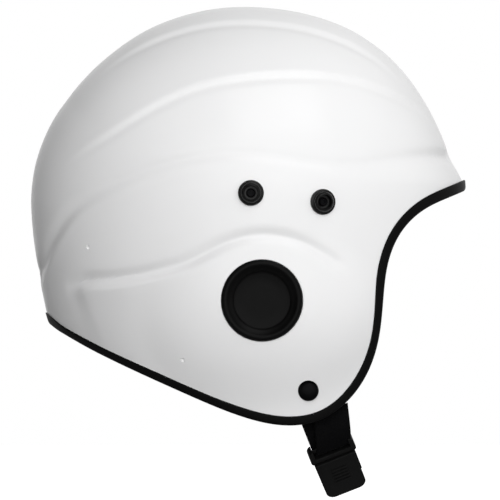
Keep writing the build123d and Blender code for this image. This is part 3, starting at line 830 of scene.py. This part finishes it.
def make_studs():
    screws = []
    for side, side_name in ((RIGHT, "right"), (LEFT, "left")):
        for place_name, (x, z) in STUD_PLACES.items():
            origin, way = stud_place(x, z, side)
            name = f"visor_stud_{side_name}_{place_name}"
            stud = mesh_object(f"{name}_cup", [turned(STUD_PROFILE, origin, way, 96)], 34)
            finish_piece(stud, "stud_black", "helmet", name)
            screws.append(hex_head(SCREW_PROFILE, origin, way))
    finish_piece(mesh_object("visor_hex_screws", screws, 34), "screw_black", "helmet", "visor_screws")


make_studs()


# ---------------------------------------------------------------- strap anchors

ANCHOR_SCREW_END = 59.0


def make_anchor_screws():
    """Domed caps on the two screws that the strap turns on."""
    cap = [
        (5.2, -0.2), (ANCHOR_CAP_R, 0.1), (ANCHOR_CAP_R, 0.6), (5.3, 1.1), (4.6, 1.8), (3.4, 2.3),
        (1.8, 2.55), (0, 2.6),
    ]
    profile = [(0, ANCHOR_SCREW_END), (2.5, ANCHOR_SCREW_END), (2.5, ANCHOR_SEAT - 0.2)]
    profile += [(radius, ANCHOR_SEAT + height) for radius, height in cap]
    parts = [turned(profile, (ANCHOR_X, 0, ANCHOR_Z), (0, side, 0), 72) for side in (RIGHT, LEFT)]
    caps = mesh_object("strap_screw_caps", parts, 36)
    finish_piece(caps, "screw_black", "helmet", "strap_screws")


make_anchor_screws()


# ---------------------------------------------------------------- chin strap's frame

STRAP_TILT, STRAP_Y, STRAP_DROP = radians(21.5), 64.8, 21.0
WEBBING, WEBBING_T, LAYER_PITCH, BEND_R = 20.0, 1.6, 3.3, 12.5
BUCKLE_ANGLE = radians(42.0)
MALE_BAR_END, BAR_T, WEB_GAP = 3.6, 1.2, 0.25
END_BAR, END_BAR_R = (32.6, 1.2), 1.1
SEWN_LENGTH, SEWN_FROM, SEWN_PITCH, SEWN_BEND_R = 16.0, 7.2, 1.75, 4.0
MIDDLE = LAYER_PITCH / 2

# The strap hangs in a plane through the screws' axis: its first axis is +Y, its second is up
# along the strap, and the webbing's width lies along ACROSS.
STRAP_UP = Vector((-sin(STRAP_TILT), 0, cos(STRAP_TILT)))
ACROSS = Vector((cos(STRAP_TILT), 0, sin(STRAP_TILT)))
ANCHOR = Vector((ANCHOR_X, 0, ANCHOR_Z))
AXIS = (sin(BUCKLE_ANGLE), -cos(BUCKLE_ANGLE))
BUCKLE_START = (
    -STRAP_Y + BEND_R * (1 - cos(BUCKLE_ANGLE)), -STRAP_DROP - BEND_R * sin(BUCKLE_ANGLE),
)


def in_strap(point):
    """A point of the strap's plane in the helmet's axes."""
    return ANCHOR + Vector((0, point[0], 0)) + STRAP_UP * point[1]


def on_axis(along, out=0.0):
    """Point of the strap's plane, along the buckle's axis and outward from it."""
    return (
        BUCKLE_START[0] + along * AXIS[0] + out * AXIS[1],
        BUCKLE_START[1] + along * AXIS[1] - out * AXIS[0],
    )


def corner(a, along_a, b, along_b):
    """Where the line from a along one direction meets the line from b along another."""
    cross = along_a[0] * along_b[1] - along_a[1] * along_b[0]
    t = ((b[0] - a[0]) * along_b[1] - (b[1] - a[1]) * along_b[0]) / cross
    return (a[0] + t * along_a[0], a[1] + t * along_a[1])


ALONG = Vector((0, AXIS[0], 0)) + STRAP_UP * AXIS[1]
OUT = (-ACROSS).cross(ALONG)
BUCKLE = Matrix.Translation(in_strap(on_axis(0))) @ Matrix((
    (-ACROSS[0], ALONG[0], OUT[0], 0), (-ACROSS[1], ALONG[1], OUT[1], 0),
    (-ACROSS[2], ALONG[2], OUT[2], 0), (0, 0, 0, 1),
))


# ---------------------------------------------------------------- webbing

RIB_PITCH, RIB_COLUMNS, RIB_HEIGHT, WEB_STEP = 1.7, 9, 0.11, 0.42
EDGE_ROUND = 0.7


def web_section():
    """Half of the webbing's section: across it and out of its middle, from edge to edge."""
    half, thick = WEBBING / 2, WEBBING_T / 2
    flat = [(u, thick) for u in np.linspace(-half + EDGE_ROUND, half - EDGE_ROUND, 38)]
    bend = [(half - EDGE_ROUND + EDGE_ROUND * sin(a), thick * cos(a)) for a in np.linspace(0.4, pi / 2, 4)]
    return [(-u, w) for u, w in bend[::-1]] + flat + bend


def herringbone(across, run):
    """Height of the woven ribs, which lean one way and the other in neighbouring columns."""
    column = (across / WEBBING + 0.5) * RIB_COLUMNS
    within = column - np.floor(column)
    lean = np.where(np.floor(column) % 2 == 0, within, 1 - within)
    ribs = np.cos(2 * pi * (run / RIB_PITCH + 0.55 * lean))
    return RIB_HEIGHT * (0.5 * ribs - 1.2 * np.exp(-((np.minimum(within, 1 - within)) / 0.1) ** 2))


def webbing(route, side_shift):
    """Points and faces of webbing along a route in the strap's plane, each place moved sideways."""
    length = sum((Vector(b) - Vector(a)).length for a, b in zip(route, route[1:]))
    path = even(route, int(ceil(length / WEB_STEP)))
    ways = unit(np.gradient(path, axis=0))
    run = np.linspace(0, length, len(path))
    top = np.array(web_section())
    ring = np.concatenate([top, top[-2:0:-1] * (1, -1)])
    points = []
    for centre, way, s in zip(path, ways, run):
        normal = np.array((-way[1], way[0]))
        face = (np.abs(ring[:, 0]) < WEBBING / 2 - EDGE_ROUND + 0.01) * np.sign(ring[:, 1])
        rise = ring[:, 1] + face * herringbone(ring[:, 0] * np.sign(ring[:, 1] + 1e-9), s)
        sideways = ring[:, 0] + side_shift(s, length)
        for u, w in zip(sideways, rise):
            points.append(in_strap(centre + normal * w) + ACROSS * u)
    n, count = len(ring), len(path)
    faces = [
        (i * n + j, i * n + (j + 1) % n, (i + 1) * n + (j + 1) % n, (i + 1) * n + j)
        for i in range(count - 1) for j in range(n)
    ]
    faces += [tuple(range(n))[::-1], tuple((count - 1) * n + j for j in range(n))]
    return points, faces


DOWN, SIDEWAYS = (0.0, -1.0), (1.0, 0.0)
TAIL_LEAN, TAIL_START = tan(radians(15.0)), 0.6


def right_route():
    """Down from the right screw, round the ladder bar and back up as the loose tail."""
    wrap = MALE_BAR_END + WEB_GAP + WEBBING_T / 2
    tail_top = (-STRAP_Y - LAYER_PITCH, -14.0)
    tail_bend = corner(tail_top, DOWN, on_axis(0, LAYER_PITCH), AXIS)
    points = (
        (-STRAP_Y, 9.0), corner((-STRAP_Y, 0), DOWN, on_axis(0), AXIS), on_axis(wrap),
        on_axis(wrap, LAYER_PITCH), tail_bend, tail_top,
    )
    return rounded(points, (BEND_R, MIDDLE - 0.02, MIDDLE - 0.02, BEND_R + LAYER_PITCH))


def left_route():
    """From the sewn end round the socket's bar, level under the chin and up to the left screw."""
    loop_r = END_BAR_R + WEB_GAP + WEBBING_T / 2
    bar_x, bar_level = on_axis(*END_BAR)
    level = bar_level + loop_r
    start, axis = (-BUCKLE_START[0], BUCKLE_START[1]), (AXIS[0], -AXIS[1])
    points = (
        (bar_x + SEWN_LENGTH, level - SEWN_PITCH), (bar_x + SEWN_FROM, level - SEWN_PITCH),
        (bar_x + loop_r, bar_level - loop_r), (bar_x - loop_r, bar_level - loop_r),
        (bar_x - loop_r, level), corner(start, axis, (0.0, level), SIDEWAYS),
        corner((STRAP_Y, 0), DOWN, start, axis), (STRAP_Y, 9.0),
    )
    return rounded(points, (SEWN_BEND_R, SEWN_BEND_R, loop_r - 0.02, loop_r - 0.02, BEND_R, BEND_R))


def tail_shift(run, length):
    """The tail leans forward as it climbs away from the ladder bar."""
    return TAIL_LEAN * max(run - TAIL_START * length, 0)


def make_straps():
    right = mesh_object("strap_right_webbing", [webbing(right_route(), tail_shift)], 60)
    finish_piece(right, "webbing_black", "chin_strap", "strap_right")
    left = mesh_object("strap_left_webbing", [webbing(left_route(), lambda run, length: 0.0)], 60)
    finish_piece(left, "webbing_black", None, "strap_left")
    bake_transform(left)


make_straps()


# ---------------------------------------------------------------- buckle

BUCKLE_WIDTH, MALE_WIDTH, MALE_LENGTH, MALE_LOW, MALE_HIGH = 25.4, 25.8, 9.4, -1.4, 4.7
FEMALE_START, FEMALE_LENGTH, FEMALE_LOW, FEMALE_HIGH, FEMALE_WIDTH = 9.8, 26.4, -2.6, 5.9, 23.6
SOCKET_END, SOCKET_WIDTH, SOCKET_LOW, SOCKET_HIGH = 28.4, 20.6, -0.6, 3.9
WINDOW, SLOT_START, COVER_LOW = (17.0, 25.0), 29.4, 4.4
ARM_WIDTH, ARM_T, ARM_END, BARB = 3.2, 3.4, 26.0, 1.8


def prism(outline, low, high):
    """Prism on the buckle's plane between two heights."""
    n = len(outline)
    faces = [tuple(range(n))[::-1], tuple(range(n, 2 * n))]
    faces += [(i, (i + 1) % n, n + (i + 1) % n, n + i) for i in range(n)]
    return [BUCKLE @ Vector((x, y, z)) for z in (low, high) for x, y in outline], faces


def block(span, width, low, high, radii=None, taper=0.0):
    """Prism from a span along the buckle, a width across it, and radii at its first and last ends."""
    a, b = span
    w, v, middle = width / 2, width / 2 - taper, (a + b) / 2
    outline = [(-w, a), (w, a), (v, b), (-v, b)]
    if radii:
        closed = [(-w, middle), *outline, (-v, middle)]
        outline = rounded(closed, (radii[0], radii[0], radii[1], radii[1]), 7)
    return prism([tuple(p)[:2] for p in outline], low, high)


def softened(piece, width, segments=3):
    """Sharp edges rounded off by a width in mm."""
    applied(piece, "BEVEL", width=width * MM, segments=segments, limit_method="ANGLE",
            angle_limit=radians(35), harden_normals=False)
    shade(piece, 50)
    return piece


def male_half():
    """Ladder frame with its bar and the centre tongue."""
    outside = block((0.4, MALE_LENGTH), MALE_WIDTH, MALE_LOW, MALE_HIGH, (3.2, 1.6))
    gap = block((-1, MALE_LENGTH - 3), WEBBING + 0.3, MALE_LOW - 1, MALE_HIGH + 1)
    frame_part = mesh_object("buckle_male_frame", [outside])
    cut(frame_part, mesh_object("male_gap", [gap]))
    softened(frame_part, 0.5)
    low, high = MIDDLE - BAR_T / 2, MIDDLE + BAR_T / 2
    bar = mesh_object("bar", [block((1.0, MALE_BAR_END), BUCKLE_WIDTH - 3, low, high)])
    tongue = mesh_object("tongue", [
        block((MALE_LENGTH - 1, 25.0), 5.0, MIDDLE - 1.3, MIDDLE + 1.3, (0.9, 0.9), 0.6),
    ])
    softened(bar, 0.35)
    softened(tongue, 0.4)
    join(frame_part, bar, tongue)
    finish_piece(frame_part, "buckle_black", "chin_strap", "buckle_male")


def join(first, *others):
    """The other objects' meshes added to the first object."""
    build = bmesh.new()
    for piece in (first, *others):
        build.from_mesh(piece.data)
    build.to_mesh(first.data)
    build.free()
    for piece in others:
        bpy.data.objects.remove(piece)
    return first


def latch_arms():
    """Sprung side arms whose barbs show in the socket's windows."""
    parts, tip = [], SOCKET_WIDTH / 2 - 0.5
    root = tip - ARM_WIDTH
    for hand in (-1, 1):
        outline = rounded((
            (root + 1.2, MALE_LENGTH - 0.3), (tip, MALE_LENGTH - 0.3), (tip - 0.3, WINDOW[0] + 0.2),
            (tip + BARB, WINDOW[0] + 1.1), (tip + BARB, WINDOW[1] - 3.2), (tip - 0.8, ARM_END),
            (root, ARM_END - 1.0), (root + 0.9, WINDOW[0]),
        ), (1.0, 0.5, 0.9, 2.0, 1.0, 0.8), 5)
        outline = [(hand * p[0], p[1]) for p in outline]
        parts.append(prism(outline, MIDDLE - ARM_T / 2, MIDDLE + ARM_T / 2))
    arms = softened(mesh_object("buckle_side_arms", parts), 0.4)
    finish_piece(arms, "buckle_black", "chin_strap", "buckle_latch_arms")


FEMALE_TAPER, FEMALE_CORNER = 0.5, 4.6
GRIP_RIBS, GRIP_PITCH, GRIP_LENGTH = 5, 2.3, 9.0


def female_half():
    """Socket with rounded end corners, side windows, a bar under its end and grip ribs."""
    end = FEMALE_START + FEMALE_LENGTH
    body = mesh_object("buckle_female_socket", [
        block((FEMALE_START, end), FEMALE_WIDTH, FEMALE_LOW, FEMALE_HIGH, (1.2, FEMALE_CORNER), FEMALE_TAPER),
    ])
    softened(body, 1.2, 4)
    openings = [
        block((FEMALE_START - 5, SOCKET_END), SOCKET_WIDTH, SOCKET_LOW, SOCKET_HIGH),
        block((SLOT_START, end + 1), SOCKET_WIDTH - 0.2, FEMALE_LOW - 1, COVER_LOW),
        block(WINDOW, BUCKLE_WIDTH + 4, SOCKET_LOW, SOCKET_HIGH),
    ]
    for i, opening in enumerate(openings):
        cut(body, mesh_object(f"female_opening_{i}", [opening]))
    ribs = []
    for i in range(GRIP_RIBS):
        at = WINDOW[0] - 0.6 + i * GRIP_PITCH
        ribs.append(block((at, at + 1.0), GRIP_LENGTH, FEMALE_HIGH - 0.4, FEMALE_HIGH + 0.35, (0.45, 0.45)))
    grip = softened(mesh_object("grip", ribs), 0.2, 2)
    centre, reach = BUCKLE @ Vector((0, *END_BAR)), FEMALE_WIDTH / 2 - 1
    ends = [centre + side * reach * (BUCKLE.to_3x3() @ Vector((1, 0, 0))) for side in (-1, 1)]
    bar = mesh_object("end_bar", [tube(ends, END_BAR_R, sides=24)])
    join(body, grip, bar)
    shade(body, 40)
    finish_piece(body, "buckle_black", "buckle_socket", "buckle_female")


male_half()
latch_arms()
female_half()


# ---------------------------------------------------------------- stitching on the webbing

STITCH, STITCH_GAP, THREAD = 2.3, 0.6, 0.34


def stitch_row(points, level, way):
    """Separate stitches along a polyline of places on the webbing's face, which looks one way."""
    parts = []
    for a, b in zip(points, points[1:]):
        a, b = Vector(a), Vector(b)
        count = max(int((b - a).length / (STITCH + STITCH_GAP)), 1)
        for i in range(count):
            first, last = a.lerp(b, (i + 0.12) / count), a.lerp(b, (i + 0.88) / count)
            dips = (-0.7, -0.16, 0.0, -0.16, -0.7)
            path = []
            for j, dip in enumerate(dips):
                run, side = first.lerp(last, j / 4)
                path.append(in_strap((run, level + way * THREAD * dip)) + ACROSS * side)
            parts.append(tube(path, THREAD, sides=6))
    return parts


def make_stitches():
    """Box stitching where the left webbing is folded back on itself under the chin."""
    bar_x, bar_level = on_axis(*END_BAR)
    level = bar_level + END_BAR_R + WEB_GAP + WEBBING_T / 2
    half, start, end = WEBBING / 2 - 2.2, bar_x + SEWN_FROM + 0.8, bar_x + SEWN_LENGTH - 0.8
    box = ((start, -half), (start, half), (end, half), (end, -half), (start, -half), (end, half))
    rows = stitch_row(box, level + WEBBING_T / 2 + 0.1, 1)
    rows += stitch_row(box, level - SEWN_PITCH - WEBBING_T / 2 - 0.1, -1)
    finish_piece(mesh_object("strap_stitches", rows), "webbing_black", "buckle_socket")


make_stitches()


# ---------------------------------------------------------------- foam liner

FOAM_VOXEL, FOAM_SMOOTHING = 2.2, 10


def solid_copy(node, name):
    """A welded copy of a CAD node's mesh as a new piece."""
    build = bmesh.new()
    build.from_mesh(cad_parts[node].data)
    bmesh.ops.remove_doubles(build, verts=build.verts, dist=1e-6)
    mesh = bpy.data.meshes.new(name)
    build.to_mesh(mesh)
    build.free()
    return link(name, mesh)


def smoothed(piece, steps, factor=0.5):
    applied(piece, "SMOOTH", iterations=steps, factor=factor)
    return piece


def make_foam():
    """Liner blocks with the soft edges of cut and skinned foam."""
    for part in ("crown", "front", "rear", "right", "left"):
        block_piece = solid_copy(f"liner_{part}", f"foam_{part}")
        applied(block_piece, "REMESH", mode="VOXEL", voxel_size=FOAM_VOXEL * MM, adaptivity=0.0)
        smoothed(block_piece, FOAM_SMOOTHING)
        shade(block_piece, 80)
        finish_piece(block_piece, "foam_grey", "helmet", f"liner_{part}")


make_foam()


# ---------------------------------------------------------------- pads

PAD_VOXEL, PAD_SHRINK, PAD_CAP = 1.9, 0.7, 2.2


def puff(piece, pressure=4.0, frames=20):
    """Inflates a pad by cloth simulation, with each point held within PAD_CAP of its start."""
    build = bmesh.new()
    build.from_mesh(piece.data)
    for vertex in build.verts:
        vertex.co -= vertex.normal * PAD_SHRINK * MM
    build.to_mesh(piece.data)
    build.free()
    start = np.array([v.co for v in piece.data.vertices])
    cloth = piece.modifiers.new("cloth", "CLOTH")
    cloth.settings.use_pressure = True
    cloth.settings.uniform_pressure_force = pressure
    cloth.settings.effector_weights.gravity = 0
    cloth.settings.tension_stiffness = cloth.settings.compression_stiffness = 12
    cloth.collision_settings.use_collision = False
    scene = bpy.context.scene
    for step in range(1, frames + 1):
        scene.frame_set(step)
    moved = piece.evaluated_get(bpy.context.evaluated_depsgraph_get())
    end = np.array([v.co for v in moved.data.vertices])
    piece.modifiers.clear()
    shift = end - start
    far = np.linalg.norm(shift, axis=1, keepdims=True)
    shift *= np.minimum(1, PAD_CAP * MM / np.maximum(far, 1e-9))
    piece.data.vertices.foreach_set("co", (start + shift).astype(np.float32).ravel())
    piece.data.update()
    scene.frame_set(1)
    return piece


def make_pad(node, name):
    pad = solid_copy(node, name)
    applied(pad, "REMESH", mode="VOXEL", voxel_size=PAD_VOXEL * MM, adaptivity=0.0)
    smoothed(pad, 4)
    puff(pad)
    applied(pad, "SUBSURF", levels=1, render_levels=1)
    shade(pad, 80)
    return finish_piece(pad, "pad_fabric", "helmet", node)


for pad_node in ("brow_pad", "nape_pad", "crown_pad", "ear_pad_right", "ear_pad_left"):
    make_pad(pad_node, f"{pad_node}_cover")


# ---------------------------------------------------------------- carried-over CAD pieces

CARRIED = {
    "visor_tee_nuts": "nut_steel", "strap_spacers": "spacer_nylon", "strap_washers": "nut_steel",
    "strap_nuts": "nut_steel", "hook_patches": "hook_tape",
}


def carry_over():
    """CAD pieces whose shape is right, given their material."""
    for node, slot in CARRIED.items():
        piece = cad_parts[node]
        piece.data.materials.clear()
        piece.data.materials.append(MATERIALS[slot])


carry_over()


# ---------------------------------------------------------------- floor and light

FLOOR_RADIUS, FLOOR_GAP = 1.6, 0.03

# Soft lights of the studio: degrees round from the camera towards the helmet's front, degrees
# above the floor, and strength. GLOW_POWER is how tightly each one gathers.
GLOWS = (
    (25, 35, 0.2), (0, 4, 3.75), (50, 5, 1.25), (130, 35, 1.0), (180, 30, 1.0), (180, 0, 2.2),
    (-95, 60, 0.1), (100, 5, 0.35),
)
GLOW_POWER, AMBIENT, GLOSS_SHARE = 6.0, 0.04, 0.3


def make_floor():
    """Pale round floor, clear of the buckle when it drops open."""
    lowest = min(cad_box[0][2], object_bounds()[0][2]) - FLOOR_GAP
    build = bmesh.new()
    bmesh.ops.create_circle(build, cap_ends=True, segments=128, radius=FLOOR_RADIUS)
    mesh = bpy.data.meshes.new("floor")
    build.to_mesh(mesh)
    build.free()
    floor = link("floor", mesh)
    floor.location.z = lowest
    s = Surface("floor_white")
    s.colours(s.noise(400, 2), (0.20, 0.20, 0.20), (0.23, 0.23, 0.23))
    s.roughness(s.scaled(s.noise(60, 3), 0.85, 0.95))
    seen = s.node("ShaderNodeLightPath").outputs["Is Camera Ray"]
    s.tree.links.new(seen, s.shader.inputs["Emission Strength"])
    s.shader.inputs["Emission Color"].default_value = (1, 1, 1, 1)
    floor.data.materials.append(s.material)


class World(Nodes):
    """The studio's soft surroundings: glows in a few directions, and plain white behind."""

    def __init__(self):
        world = bpy.data.worlds.new("studio")
        bpy.context.scene.world = world
        world.use_nodes = True
        super().__init__(world.node_tree)
        self.tree.nodes.clear()
        place = self.node("ShaderNodeTexCoord").outputs["Generated"]
        total = AMBIENT
        for turn, rise, strength in GLOWS:
            turn, rise = radians(turn), radians(rise)
            way = Vector((sin(turn) * cos(rise), -cos(turn) * cos(rise), sin(rise)))
            facing = self.node("ShaderNodeVectorMath", {0: place, 1: way}, operation="DOT_PRODUCT")
            lit = self.math("POWER", self.math("MAXIMUM", facing.outputs["Value"], 0.0), GLOW_POWER)
            total = self.math("ADD", self.math("MULTIPLY", lit, strength), total)
        rays = self.node("ShaderNodeLightPath").outputs
        share = self.math("ADD", self.math("MULTIPLY", rays["Is Glossy Ray"], GLOSS_SHARE - 1), 1.0)
        white, power = (1, 1, 1, 1), self.math("MULTIPLY", total, share)
        glow = self.node("ShaderNodeBackground", {"Color": white, "Strength": power})
        plain = self.node("ShaderNodeBackground", {"Color": white})
        shaders = {0: rays["Is Camera Ray"], 1: glow.outputs[0], 2: plain.outputs[0]}
        mix = self.node("ShaderNodeMixShader", shaders)
        self.node("ShaderNodeOutputWorld", {"Surface": mix.outputs[0]})


def softbox(name, place, size, power, target=(0, 0, 0.03)):
    light = bpy.data.lights.new(name, "AREA")
    light.shape, light.size, light.size_y = "RECTANGLE", *size
    light.energy = power
    lamp = bpy.data.objects.new(name, light)
    lamp.location = place
    lamp.rotation_euler = (Vector(target) - Vector(place)).to_track_quat("-Z", "Y").to_euler()
    bpy.context.scene.collection.objects.link(lamp)


make_floor()
World()
softbox("key", (0.6, -1.5, 2.1), (1.8, 1.5), 8.5)
bpy.context.scene.view_settings.view_transform = "Standard"
